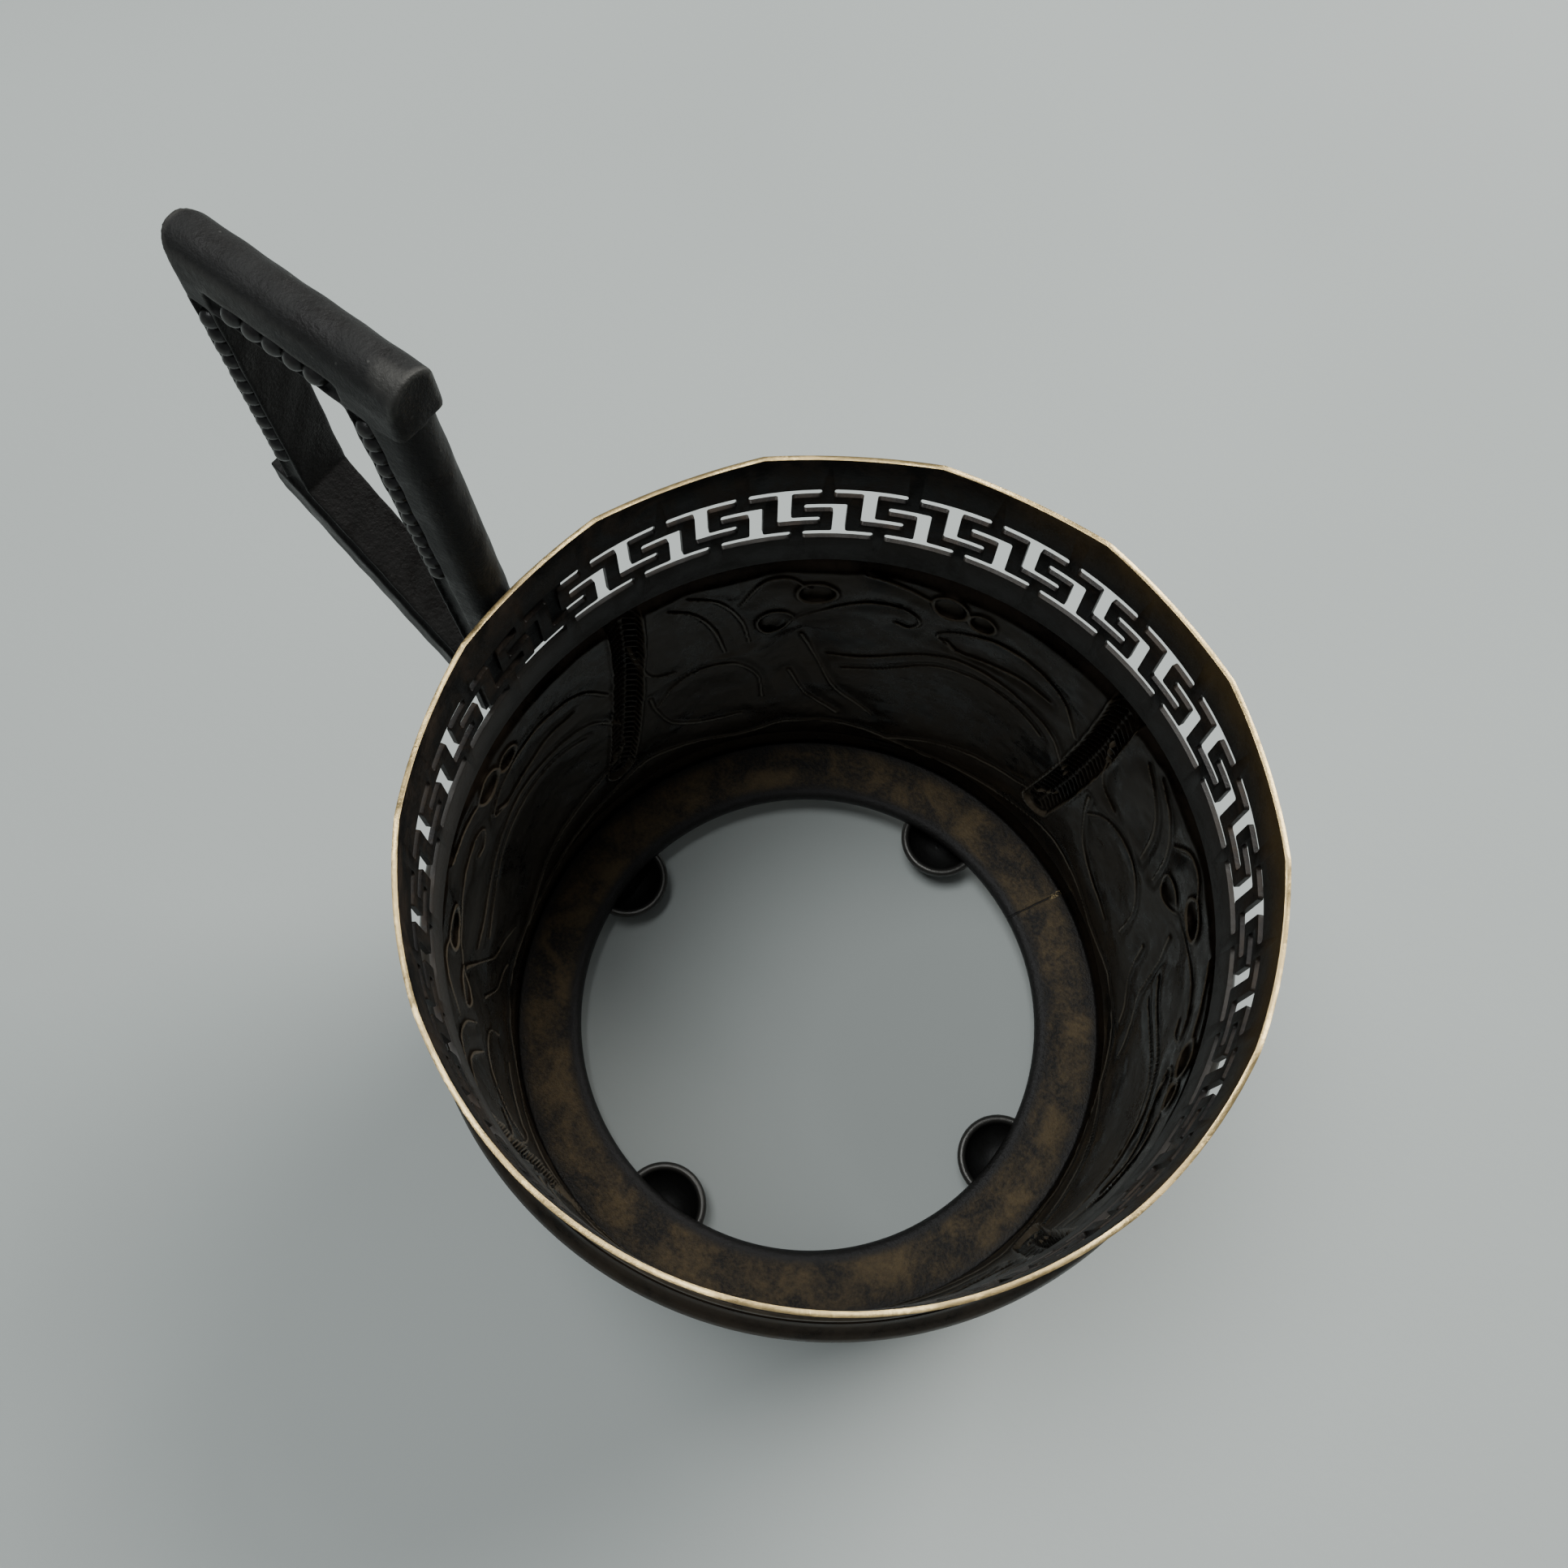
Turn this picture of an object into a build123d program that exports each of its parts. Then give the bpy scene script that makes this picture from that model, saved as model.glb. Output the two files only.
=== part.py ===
"""Metal tea-glass holder with a pierced meander gallery, an embossed wall and a beaded loop handle.

Millimetres, +Z up. The origin is on the axis at the top of the base ring, where the glass stands.
The handle points along +X. The wall, gallery and ring are soldered sheet; the handle is built of
four bars with rows of beaded wire let into their sides; four hollow half-balls are the feet.
"""
import os
from math import cos, radians, sin, sqrt, tan

from build123d import *

# ---- driving dimensions: the holder ----
rim_height = 62.7          # glass seat to the peaks of the rim
gallery_radius = 31.75     # outside of the gallery band
gallery_sheet = 0.4        # its thickness
gallery_depth = 16.5       # peaks of the rim down to the ledge
scallop_count = 14         # peaks round the rim
scallop_depth = 0.6        # how far the rim dips between two peaks
scallop_phase = 8.9        # degrees from the handle to the first peak

wall_bulge = 1.85          # outside of the embossed wall beyond the outside of the gallery
wall_sheet = 0.5           # its thickness
wall_lap = 1.0             # how far the wall's collar laps the gallery
wall_flare = 2.0           # height of the cove between collar and wall
wall_foot = 3.2            # height of the cove between wall and base ring

ring_thickness = 1.2       # base ring
ring_inset = 1.4           # outside of the wall in to the ring's edge
ring_width = 6.85          # edge to hole
ring_edge_round = 0.9      # rounding of the hole's upper edge

seam_wire_radius = 0.35    # half-round wire over the collar's top edge

# ---- driving dimensions: the meander ----
units_per_scallop = 2
meander_drop = 4.9         # peaks of the rim down to the top of the slots
arm_height = 1.15          # the slots' long and short arms
stem_width = 1.14          # the slots' upright arms
arm_web = 1.06             # metal between an arm's end and the next slot
stem_web = 1.28            # metal between two stems
outer_key_web = 1.1        # metal between a slot's long arm and its mate's short arm
middle_key_web = 0.9       # metal between the two short arms' levels
slot_corner_radius = 0.25
meander_phase = 11.1       # degrees from the handle to the first slot's end

# ---- driving dimensions: the feet ----
foot_count = 4
foot_radius = 4.6
foot_wall = 0.9
foot_overhang = 0.65       # centre of a foot outside the edge of the hole
foot_flat_radius = 1.4     # the worn flat that each foot stands on

# ---- driving dimensions: the handle ----
handle_width = 4.3         # every bar, across the handle
bar_depth = 4.8            # window side to crown, of the top bar and the inner leg
outer_leg_depth = 3.6      # the same, of the outer leg
lower_bar_depth = 6.8      # and of the lower bar
bar_side = 2.35            # flat part of a bar's side, next to the window
crown_rise = 1.2           # arched part of a bar's crown
crown_inset = 0.3          # a side's bevel, from the flat part to the crown
handle_rise = 20.1         # rim to the underside of the top bar
top_bar_overhang = 0.25    # beyond the crown of the inner leg
top_bar_end_round = 1.9    # corners of its outer end, seen from above and from the side
top_bar_corner_round = 0.8  # the same, of its inner end
window_width = 11.1        # between the legs, under the top bar
outer_leg_drop = 1.3       # rim down to the lower end of the outer leg
inner_leg_offset = 6.95    # its window side, under the top bar, beyond the outside of the gallery
inner_leg_lean = 4.8       # degrees
inner_leg_drop = 11.5      # rim down to its lower end
lower_bar_slope = 52.0     # degrees below horizontal, inwards
lower_bar_step = 0.7       # how far it stands out beyond the outer leg

saddle_sheet = 0.5         # pads between handle and holder
saddle_half_angle = 9.5
upper_saddle_drop = 1.6    # rim down to its top edge
upper_saddle_height = 10.4
lower_saddle_margin = 1.5   # above and below the end of the lower bar

channel_width = 1.8        # for the beaded wire
channel_depth = 0.5
channel_edge = 0.32        # rib between channel and window
bead_clearance = 0.05      # between a bead and each side of the channel
bead_pitch = 1.42
top_bead_pitch = 1.75
bead_strip_thickness = 0.3
bead_end_gap = 0.5         # free channel at each end of a bead row
outer_row_foot_gap = 2.6   # plain length at the foot of the outer leg

# ---- derived places ----
gallery_inner_radius = gallery_radius - gallery_sheet
wall_radius = gallery_radius + wall_bulge
ring_outer_radius = wall_radius - ring_inset
ring_hole_radius = ring_outer_radius - ring_width
foot_circle_radius = ring_hole_radius + foot_overhang
ledge_z = rim_height - gallery_depth
collar_top_z = ledge_z + wall_lap
collar_radius = gallery_radius + wall_sheet
flare_top_z = ledge_z
wall_top_z = flare_top_z - wall_flare
wall_bottom_z = -ring_thickness
wall_foot_z = wall_bottom_z + wall_foot
ring_seat_radius = ring_outer_radius + wall_sheet

unit_count = scallop_count * units_per_scallop
unit_angle = 360 / unit_count
scallop_angle = 360 / scallop_count
mm_per_degree = radians(1) * (gallery_radius - gallery_sheet / 2)
unit_length = unit_angle * mm_per_degree
long_arm_length = unit_length - arm_web
stem_start = stem_width + stem_web
mate_shift = stem_start + stem_width + arm_web
meander_height = 4 * arm_height + 2 * outer_key_web + middle_key_web
short_arm_drop = 2 * arm_height + outer_key_web + middle_key_web

top_bar_under_z = rim_height + handle_rise
inner_leg_window_top_x = gallery_radius + inner_leg_offset
outer_leg_window_x = inner_leg_window_top_x + window_width
outer_leg_foot_z = rim_height - outer_leg_drop
inner_leg_foot_z = rim_height - inner_leg_drop
upper_saddle_radius = gallery_radius + saddle_sheet
lower_saddle_radius = wall_radius + saddle_sheet
lower_bar_dir = (cos(radians(lower_bar_slope)), sin(radians(lower_bar_slope)))
channel_middle = channel_edge + channel_width / 2
bead_radius = channel_width / 2 - bead_clearance

parts_made = []


def keep(part, label):
    """Name a finished piece and remember it for export."""
    part.label = label
    parts_made.append(part)


# ---- slot outlines, in a plane that touches the band: x to the left seen from outside, y up ----
def slot_outline(turned):
    """One meander slot as a closed polyline: long top arm, stem, short foot arm to one side."""
    stem_end = stem_start + stem_width
    short_arm_bottom = -short_arm_drop - arm_height
    points = [
        (0, 0),
        (long_arm_length, 0),
        (long_arm_length, -arm_height),
        (stem_end, -arm_height),
        (stem_end, -short_arm_drop),
        (long_arm_length, -short_arm_drop),
        (long_arm_length, short_arm_bottom),
        (stem_start, short_arm_bottom),
        (stem_start, -arm_height),
        (0, -arm_height),
    ]
    if turned:
        return [(mate_shift + long_arm_length - x, -meander_height - y) for x, y in points]
    return points


def radial_plane(angle, radius, height):
    """Plane that touches a cylinder at the angle: x runs clockwise seen from above, y up, z inwards."""
    turn = radians(angle)
    return Plane(
        origin=(radius * cos(turn), radius * sin(turn), height),
        x_dir=(sin(turn), -cos(turn), 0),
        z_dir=(-cos(turn), -sin(turn), 0),
    )


# ---- gallery band: plain lip with a scalloped rim, pierced meander, plain band ----
slot_middle = (mate_shift + long_arm_length) / 2
cut_overrun = 2.0
scallop_chord = 2 * gallery_radius * sin(radians(scallop_angle / 2))
scallop_cut_radius = ((scallop_chord / 2) ** 2 + scallop_depth**2) / (2 * scallop_depth)

with BuildPart() as scallop_cuts:
    for scallop in range(scallop_count):
        middle_angle = scallop_phase + (scallop + 0.5) * scallop_angle
        with BuildSketch(radial_plane(middle_angle, gallery_radius + cut_overrun, rim_height)):
            with Locations((0, scallop_cut_radius - scallop_depth)):
                Circle(scallop_cut_radius)
            with Locations((0, -scallop_depth)):
                Rectangle(2 * scallop_chord, 4 * scallop_depth, mode=Mode.INTERSECT)
        extrude(amount=gallery_sheet + 2 * cut_overrun)

with BuildPart() as slot_cuts:
    for unit in range(unit_count):
        middle_angle = meander_phase - unit * unit_angle - slot_middle / mm_per_degree
        slot_plane = radial_plane(middle_angle, gallery_radius + cut_overrun, rim_height - meander_drop)
        with BuildSketch(slot_plane) as slot_pair:
            with Locations((-slot_middle, 0)):
                Polygon(*slot_outline(turned=False), align=None)
                Polygon(*slot_outline(turned=True), align=None)
            fillet(slot_pair.vertices(), slot_corner_radius)
        extrude(amount=gallery_sheet + 2 * cut_overrun)

with BuildPart() as gallery_band:
    with BuildSketch(Plane.XY.offset(ledge_z)):
        Circle(gallery_radius)
        Circle(gallery_inner_radius, mode=Mode.SUBTRACT)
    extrude(amount=gallery_depth)
    add(scallop_cuts.part, mode=Mode.SUBTRACT)
    add(slot_cuts.part, mode=Mode.SUBTRACT)
keep(gallery_band.part, "gallery_band")

# ---- embossed wall: collar round the gallery, cove, wall, cove to the base ring ----
with BuildPart() as body_wall:
    with BuildSketch(Plane.XZ):
        with BuildLine():
            Polyline(
                (gallery_radius, collar_top_z),
                (collar_radius, collar_top_z),
                (collar_radius, flare_top_z),
                (wall_radius, wall_top_z),
                (wall_radius, wall_foot_z),
                (ring_seat_radius, wall_bottom_z + ring_thickness),
                (ring_seat_radius, wall_bottom_z),
                (ring_outer_radius, wall_bottom_z),
                (ring_outer_radius, wall_bottom_z + ring_thickness),
                (wall_radius - wall_sheet, wall_foot_z),
                (wall_radius - wall_sheet, wall_top_z),
                (gallery_radius, flare_top_z),
                close=True,
            )
        make_face()
    revolve(axis=Axis.Z)
keep(body_wall.part, "body_wall")

# ---- half-round wire that covers the collar's top edge ----
with BuildPart() as seam_wire:
    with BuildSketch(Plane.XZ):
        with BuildLine():
            seam_line = Line(
                (gallery_radius, collar_top_z + 2 * seam_wire_radius),
                (gallery_radius, collar_top_z),
            )
            ThreePointArc(
                seam_line @ 1,
                (gallery_radius + seam_wire_radius, collar_top_z + seam_wire_radius),
                seam_line @ 0,
            )
        make_face()
    revolve(axis=Axis.Z)
keep(seam_wire.part, "seam_wire")

# ---- base ring: the glass stands on it; its hole's upper edge is rounded ----
with BuildPart() as base_ring:
    with BuildSketch(Plane.XY.offset(-ring_thickness)):
        Circle(ring_outer_radius)
        Circle(ring_hole_radius, mode=Mode.SUBTRACT)
    extrude(amount=ring_thickness)
    top_edges = base_ring.edges().filter_by(GeomType.CIRCLE).group_by(Axis.Z)[-1]
    fillet(top_edges.sort_by(SortBy.RADIUS)[0], ring_edge_round)
keep(base_ring.part, "base_ring")

# ---- feet: hollow half-balls, open upwards, under the edge of the hole ----
foot_drop = sqrt(foot_radius**2 - foot_flat_radius**2)
for foot in range(foot_count):
    foot_angle = radians(360 / foot_count * foot)
    foot_plane = Plane(
        origin=(foot_circle_radius * cos(foot_angle), foot_circle_radius * sin(foot_angle), -ring_thickness),
        x_dir=(cos(foot_angle), sin(foot_angle), 0),
        z_dir=(0, 0, 1),
    )
    with BuildPart(foot_plane) as ball_foot:
        Sphere(foot_radius)
        Sphere(foot_radius - foot_wall, mode=Mode.SUBTRACT)
        split(bisect_by=foot_plane, keep=Keep.BOTTOM)
        split(bisect_by=foot_plane.offset(-foot_drop), keep=Keep.TOP)
    keep(ball_foot.part, f"ball_foot_{foot + 1}")


# ---- handle bars: a flat side towards the window, a round crown away from it ----
def bar_plane(start, direction):
    """Section plane of a bar that starts at (x, z) on the window side and runs along direction."""
    crown_way = (direction[1], 0, -direction[0])
    return Plane(origin=(start[0], 0, start[1]), x_dir=crown_way, z_dir=(direction[0], 0, direction[1]))


def bar_section(plane, depth):
    """A bar's face in its section plane, x from the window side to the arched crown."""
    side = handle_width / 2
    shoulder = side - crown_inset
    with BuildSketch(plane) as section:
        with BuildLine():
            Polyline(
                (depth - crown_rise, shoulder),
                (bar_side, side),
                (0, side),
                (0, -side),
                (bar_side, -side),
                (depth - crown_rise, -shoulder),
            )
            ThreePointArc((depth - crown_rise, -shoulder), (depth, 0), (depth - crown_rise, shoulder))
        make_face()
    return section.sketch


def channel_section(plane):
    """The two channels for beaded wire, in a bar's section plane."""
    with BuildSketch(plane) as section:
        for side in (-1, 1):
            with Locations((channel_middle, side * handle_width / 2)):
                Rectangle(channel_width, 2 * channel_depth)
    return section.sketch


# window corners, as (distance from the axis, height)
window_top_outer = (outer_leg_window_x, top_bar_under_z)
window_top_inner = (inner_leg_window_top_x, top_bar_under_z)
lean_length = (top_bar_under_z - inner_leg_foot_z) / cos(radians(inner_leg_lean))
outer_leg_length = top_bar_under_z - outer_leg_foot_z
top_bar_outer_end = outer_leg_window_x + outer_leg_depth
top_bar_inner_end = inner_leg_window_top_x - bar_depth / cos(radians(inner_leg_lean)) - top_bar_overhang
top_bar_length = top_bar_outer_end - top_bar_inner_end

top_bar_plane = bar_plane((top_bar_outer_end, top_bar_under_z), (-1, 0))
top_beads_plane = bar_plane(window_top_outer, (-1, 0))
with BuildPart() as handle_top_bar:
    extrude(bar_section(top_bar_plane, bar_depth), amount=top_bar_length)
    with BuildSketch(Plane.XY.offset(top_bar_under_z)) as top_bar_plan:
        with Locations((top_bar_outer_end, 0)):
            Rectangle(top_bar_length, handle_width, align=(Align.MAX, Align.CENTER))
        fillet(top_bar_plan.vertices().group_by(Axis.X)[-1], top_bar_end_round)
        fillet(top_bar_plan.vertices().group_by(Axis.X)[0], top_bar_corner_round)
    extrude(amount=bar_depth, mode=Mode.INTERSECT)
    with BuildSketch(Plane.XZ) as top_bar_side:
        with Locations((top_bar_outer_end, top_bar_under_z)):
            Rectangle(top_bar_length, bar_depth, align=(Align.MAX, Align.MIN))
        top_corners = top_bar_side.vertices().group_by(Axis.Z)[-1].sort_by(Axis.X)
        fillet(top_corners[-1], top_bar_end_round)
        fillet(top_corners[0], top_bar_corner_round)
    extrude(amount=handle_width / 2, both=True, mode=Mode.INTERSECT)
    extrude(channel_section(top_beads_plane), amount=window_width, mode=Mode.SUBTRACT)
keep(handle_top_bar.part, "handle_top_bar")

outer_leg_plane = bar_plane((outer_leg_window_x, outer_leg_foot_z), (0, 1))
with BuildPart() as handle_outer_leg:
    extrude(bar_section(outer_leg_plane, outer_leg_depth), amount=outer_leg_length)
    extrude(channel_section(outer_leg_plane), amount=outer_leg_length, mode=Mode.SUBTRACT)
keep(handle_outer_leg.part, "handle_outer_leg")

lean_dir = (-sin(radians(inner_leg_lean)), -cos(radians(inner_leg_lean)))
inner_leg_plane = bar_plane(window_top_inner, lean_dir)
with BuildPart() as handle_inner_leg:
    extrude(bar_section(inner_leg_plane.offset(-bar_depth), bar_depth), amount=lean_length + 3 * bar_depth)
    extrude(
        channel_section(inner_leg_plane.offset(-bar_depth)),
        amount=lean_length + 3 * bar_depth,
        mode=Mode.SUBTRACT,
    )
    split(bisect_by=Plane.XY.offset(top_bar_under_z), keep=Keep.BOTTOM)
    split(bisect_by=Plane.XY.offset(inner_leg_foot_z), keep=Keep.TOP)
    Cylinder(
        upper_saddle_radius,
        2 * rim_height,
        align=(Align.CENTER, Align.CENTER, Align.MIN),
        mode=Mode.SUBTRACT,
    )
keep(handle_inner_leg.part, "handle_inner_leg")

# the lower bar runs from inside the wall, outwards and up, to the foot of the outer leg
lower_bar_reach = (outer_leg_window_x - wall_radius / 2) / lower_bar_dir[0]
lower_bar_start = (
    outer_leg_window_x - lower_bar_reach * lower_bar_dir[0],
    outer_leg_foot_z - lower_bar_reach * lower_bar_dir[1],
)
with BuildPart() as handle_lower_bar:
    lower_bar_plane = bar_plane(lower_bar_start, lower_bar_dir)
    extrude(bar_section(lower_bar_plane, lower_bar_depth), amount=lower_bar_reach + 2 * bar_depth)
    extrude(channel_section(lower_bar_plane), amount=lower_bar_reach + 2 * bar_depth, mode=Mode.SUBTRACT)
    split(bisect_by=Plane.XY.offset(outer_leg_foot_z), keep=Keep.BOTTOM)
    split(bisect_by=Plane.YZ.offset(top_bar_outer_end + lower_bar_step), keep=Keep.BOTTOM)
    Cylinder(lower_saddle_radius, 4 * rim_height, mode=Mode.SUBTRACT)
keep(handle_lower_bar.part, "handle_lower_bar")


# ---- saddles: curved pads that spread the handle's pull over the sheet ----
def saddle(radius, bottom, height):
    """Cylindrical pad round the +X side, from a radius outwards."""
    with BuildPart() as pad:
        with BuildSketch(Plane.XZ):
            with Locations((radius, bottom)):
                Rectangle(saddle_sheet, height, align=(Align.MIN, Align.MIN))
        revolve(axis=Axis.Z, revolution_arc=2 * saddle_half_angle)
    return pad.part.rotate(Axis.Z, -saddle_half_angle)


upper_saddle_z = rim_height - upper_saddle_drop - upper_saddle_height
keep(saddle(gallery_radius, upper_saddle_z, upper_saddle_height), "handle_upper_saddle")

lower_bar_run = outer_leg_window_x - lower_saddle_radius
lower_bar_window_z = outer_leg_foot_z - lower_bar_run * tan(radians(lower_bar_slope))
lower_bar_end_height = lower_bar_depth / cos(radians(lower_bar_slope))
lower_saddle_z = lower_bar_window_z - lower_bar_end_height - lower_saddle_margin
lower_saddle_height = lower_bar_end_height + 2 * lower_saddle_margin
keep(saddle(wall_radius, lower_saddle_z, lower_saddle_height), "handle_lower_saddle")


# ---- beaded wire: a flat strip with a row of beads, let into a bar's side ----
def bead_row(plane, length, pitch, side):
    """Beads along a bar whose section plane is given; side is +1 or -1 across the handle."""
    floor = handle_width / 2 - channel_depth
    count = int((length - 2 * bead_end_gap) / pitch)
    first = (length - (count - 1) * pitch) / 2
    with BuildPart() as row:
        with BuildSketch(plane.offset(bead_end_gap)):
            with Locations((channel_middle, side * (floor + bead_strip_thickness / 2))):
                Rectangle(2 * bead_radius, bead_strip_thickness)
        extrude(amount=length - 2 * bead_end_gap)
        for bead in range(count):
            with Locations(plane * Pos(channel_middle, side * floor, first + bead * pitch)):
                Sphere(bead_radius)
        with BuildSketch(plane.offset(-bead_radius)):
            with Locations((channel_middle, side * (floor - bead_radius))):
                Rectangle(4 * bead_radius, 2 * bead_radius)
        extrude(amount=length + 2 * bead_radius, mode=Mode.SUBTRACT)
    return row.part


bead_rows = {
    "top_bar_beads": (top_beads_plane, window_width, top_bead_pitch),
    "outer_leg_beads": (
        outer_leg_plane.offset(outer_row_foot_gap),
        outer_leg_length - outer_row_foot_gap,
        bead_pitch,
    ),
    "inner_leg_beads": (inner_leg_plane, lean_length - inner_leg_drop, bead_pitch),
}
for row_name, (row_plane, row_length, row_pitch) in bead_rows.items():
    for side_name, side in (("left", -1), ("right", 1)):
        keep(bead_row(row_plane, row_length, row_pitch, side), f"{row_name}_{side_name}")

os.makedirs("parts", exist_ok=True)
for part in parts_made:
    export_step(part, f"parts/{part.label}.step")
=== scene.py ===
"""Visual model of a metal tea-glass holder: pierced gallery, embossed wall, open base, cast handle."""

import math

import bmesh
import bpy
import numpy as np
from mathutils import Matrix, Vector


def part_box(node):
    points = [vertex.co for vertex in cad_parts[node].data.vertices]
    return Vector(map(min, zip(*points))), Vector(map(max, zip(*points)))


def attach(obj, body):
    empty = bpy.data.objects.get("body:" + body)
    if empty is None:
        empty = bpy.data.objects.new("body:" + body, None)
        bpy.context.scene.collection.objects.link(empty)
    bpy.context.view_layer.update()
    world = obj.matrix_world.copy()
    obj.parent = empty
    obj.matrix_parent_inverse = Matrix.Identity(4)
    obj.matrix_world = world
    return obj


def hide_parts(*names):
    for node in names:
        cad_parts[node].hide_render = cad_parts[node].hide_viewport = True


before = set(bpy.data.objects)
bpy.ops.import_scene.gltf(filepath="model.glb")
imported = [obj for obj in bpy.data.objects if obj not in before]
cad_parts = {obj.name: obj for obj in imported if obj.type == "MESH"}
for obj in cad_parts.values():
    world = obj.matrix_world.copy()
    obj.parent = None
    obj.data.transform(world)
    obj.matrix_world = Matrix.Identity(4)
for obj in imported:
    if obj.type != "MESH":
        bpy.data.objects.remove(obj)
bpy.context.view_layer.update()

bl_info = {
    "name": "Tea-glass holder",
    "version": (1, 0, 0),
    "blender": (4, 5, 0),
    "location": "3D View > Sidebar > Holder",
    "description": "Builds the relief, the castings, the finishes and the stage of a metal tea-glass holder",
    "category": "Add Mesh",
}

MM = 0.001
RIM_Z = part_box("gallery_band")[1].z
LEDGE_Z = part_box("gallery_band")[0].z
GALLERY_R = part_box("gallery_band")[1].x
WALL_LOW, WALL_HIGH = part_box("body_wall")
WALL_R = WALL_HIGH.x
RING_LOW, RING_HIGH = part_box("base_ring")
RING_R = RING_HIGH.x
FLOOR_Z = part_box("ball_foot_1")[0].z
FEET = [name for name in sorted(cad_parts) if name.startswith("ball_foot")]
HANDLE_BARS = ["handle_top_bar", "handle_outer_leg", "handle_inner_leg", "handle_lower_bar"]
BEAD_ROWS = [name for name in sorted(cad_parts) if "beads" in name]

MOTIF_START = 222.0  # degrees round the axis where the first motif of the wall begins
LIP_LIGHT_SIDE = 226  # degrees, where the gallery's lip is painted bronze most, as painted light on that side over the rubbed lip
SOLDER_SEAM = 242.5  # degrees, where the base ring's seam runs out
RING_STEPS = 540  # mesh steps round the base ring
FLOOR_HALF = 1.6  # metres
LAMPS = [  # name, place, diameter, power, tint
    ("Window", (-0.12, -0.62, 0.62), 0.50, 7.8, (1.0, 0.985, 0.96)),
    ("Ceiling", (0.22, 0.06, 0.90), 0.40, 4.6, (0.97, 0.99, 1.0)),
]
ROOM_TINT = (0.93, 0.97, 1.0, 1.0)
ROOM_STRENGTH = 0.24
EYE_AZIMUTH, EYE_ELEVATION, EYE_DISTANCE = 115.35, 71.87, 0.10256  # degrees and metres, from the rim's middle
HEADING, PITCH, ROLL = -56.63, -70.02, 3.86  # degrees
LENS = 33.28  # millimetres


# ---- what a user would change ----
def length(name, description, default):
    """A size in metres, shown in the scene's unit."""
    return bpy.props.FloatProperty(
        name=name, description=description, default=default, min=0.0, unit="LENGTH", subtype="DISTANCE", precision=5
    )


def colour(name, description, default):
    """A linear colour."""
    return bpy.props.FloatVectorProperty(
        name=name, description=description, default=default, size=4, min=0.0, max=1.0, subtype="COLOR"
    )


class HolderWallSizes(bpy.types.PropertyGroup):
    """The embossed wall."""

    sheet: length("Sheet", "Thickness of the embossed sheet", 0.5 * MM)
    relief: length("Relief", "Height of the relief between ground and crests", 1.1 * MM)
    line_width: length("Line width", "Half width of a chased line", 0.25 * MM)
    line_height: length("Line height", "How far a chased line stands out inside", 0.30 * MM)
    ground_wave: length("Ground wave", "Unevenness of the hammered ground", 0.16 * MM)
    cove: length("Cove", "Height of the cove under the gallery", 2.0 * MM)
    foot_cove: length("Foot cove", "Height of the cove over the base", 3.2 * MM)
    motifs: bpy.props.IntProperty(name="Motifs", description="Repeats of the scrolls", default=4, min=1)
    steps_round: bpy.props.IntProperty(name="Steps round", description="Mesh steps round one motif", default=260)
    steps_high: bpy.props.IntProperty(name="Steps high", description="Pairs of mesh steps upwards", default=120)


class HolderHandleSizes(bpy.types.PropertyGroup):
    """The cast handle and its beads."""

    grain: length("Grain", "Mesh size of the casting", 0.16 * MM)
    dents: length("Dents", "Unevenness of the cast surface", 0.07 * MM)
    softness: bpy.props.IntProperty(name="Softness", description="Rounds of smoothing", default=4, min=0)
    bead_pitch: length("Bead pitch", "Distance between two beads of the legs", 1.42 * MM)
    top_bead_pitch: length("Top bead pitch", "Distance between two beads of the top bar", 1.75 * MM)


class HolderMetalSizes(bpy.types.PropertyGroup):
    """Gallery, base ring and feet."""

    edge_round: length("Edge rounding", "Rounding of the gallery's cut edges", 0.11 * MM)
    foot_wall: length("Foot wall", "Thickness of a foot's shell", 0.9 * MM)
    hole_round: length("Hole rounding", "Rounding of the edge of the base ring's hole", 0.95 * MM)
    ring_wave: length("Ring wave", "Unevenness of the base ring", 0.12 * MM)


class HolderFinishes(bpy.types.PropertyGroup):
    """Colours of the patina and of the bare metal."""

    black: colour("Black patina", "Deepest patina", (0.0055, 0.0048, 0.0042, 1.0))
    brown: colour("Brown patina", "Brown patina in thin places", (0.040, 0.029, 0.020, 1.0))
    olive: colour("Olive patina", "Rubbed lines of the relief", (0.170, 0.140, 0.095, 1.0))
    # rubbed bronze of the gallery's lip, which the gallery's shader lays on one side only as painted light
    bronze: colour("Bronze", "Rubbed lip of the gallery", (0.135, 0.092, 0.040, 1.0))
    # bare brass of the rim; also the colour of the painted highlight along the base ring's seam
    brass: colour("Bare brass", "Bare metal on the rim", (0.56, 0.42, 0.20, 1.0))
    band_grey: colour("Band grey", "Plain band under the meander", (0.042, 0.040, 0.036, 1.0))
    base_brown: colour("Base brown", "Mottled patina of the base ring", (0.150, 0.108, 0.055, 1.0))
    cast_grey: colour("Cast grey", "Handle", (0.0112, 0.0115, 0.0108, 1.0))
    # grey of the rubbed places of the handle and the beads; also the colour of the painted highlights on the feet's
    # rims and the handle's near bevel
    wear_and_sheen_grey: colour("Worn grey", "Rubbed places of the handle", (0.070, 0.069, 0.064, 1.0))
    floor: colour("Floor", "Plain floor", (0.455, 0.495, 0.480, 1.0))


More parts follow.
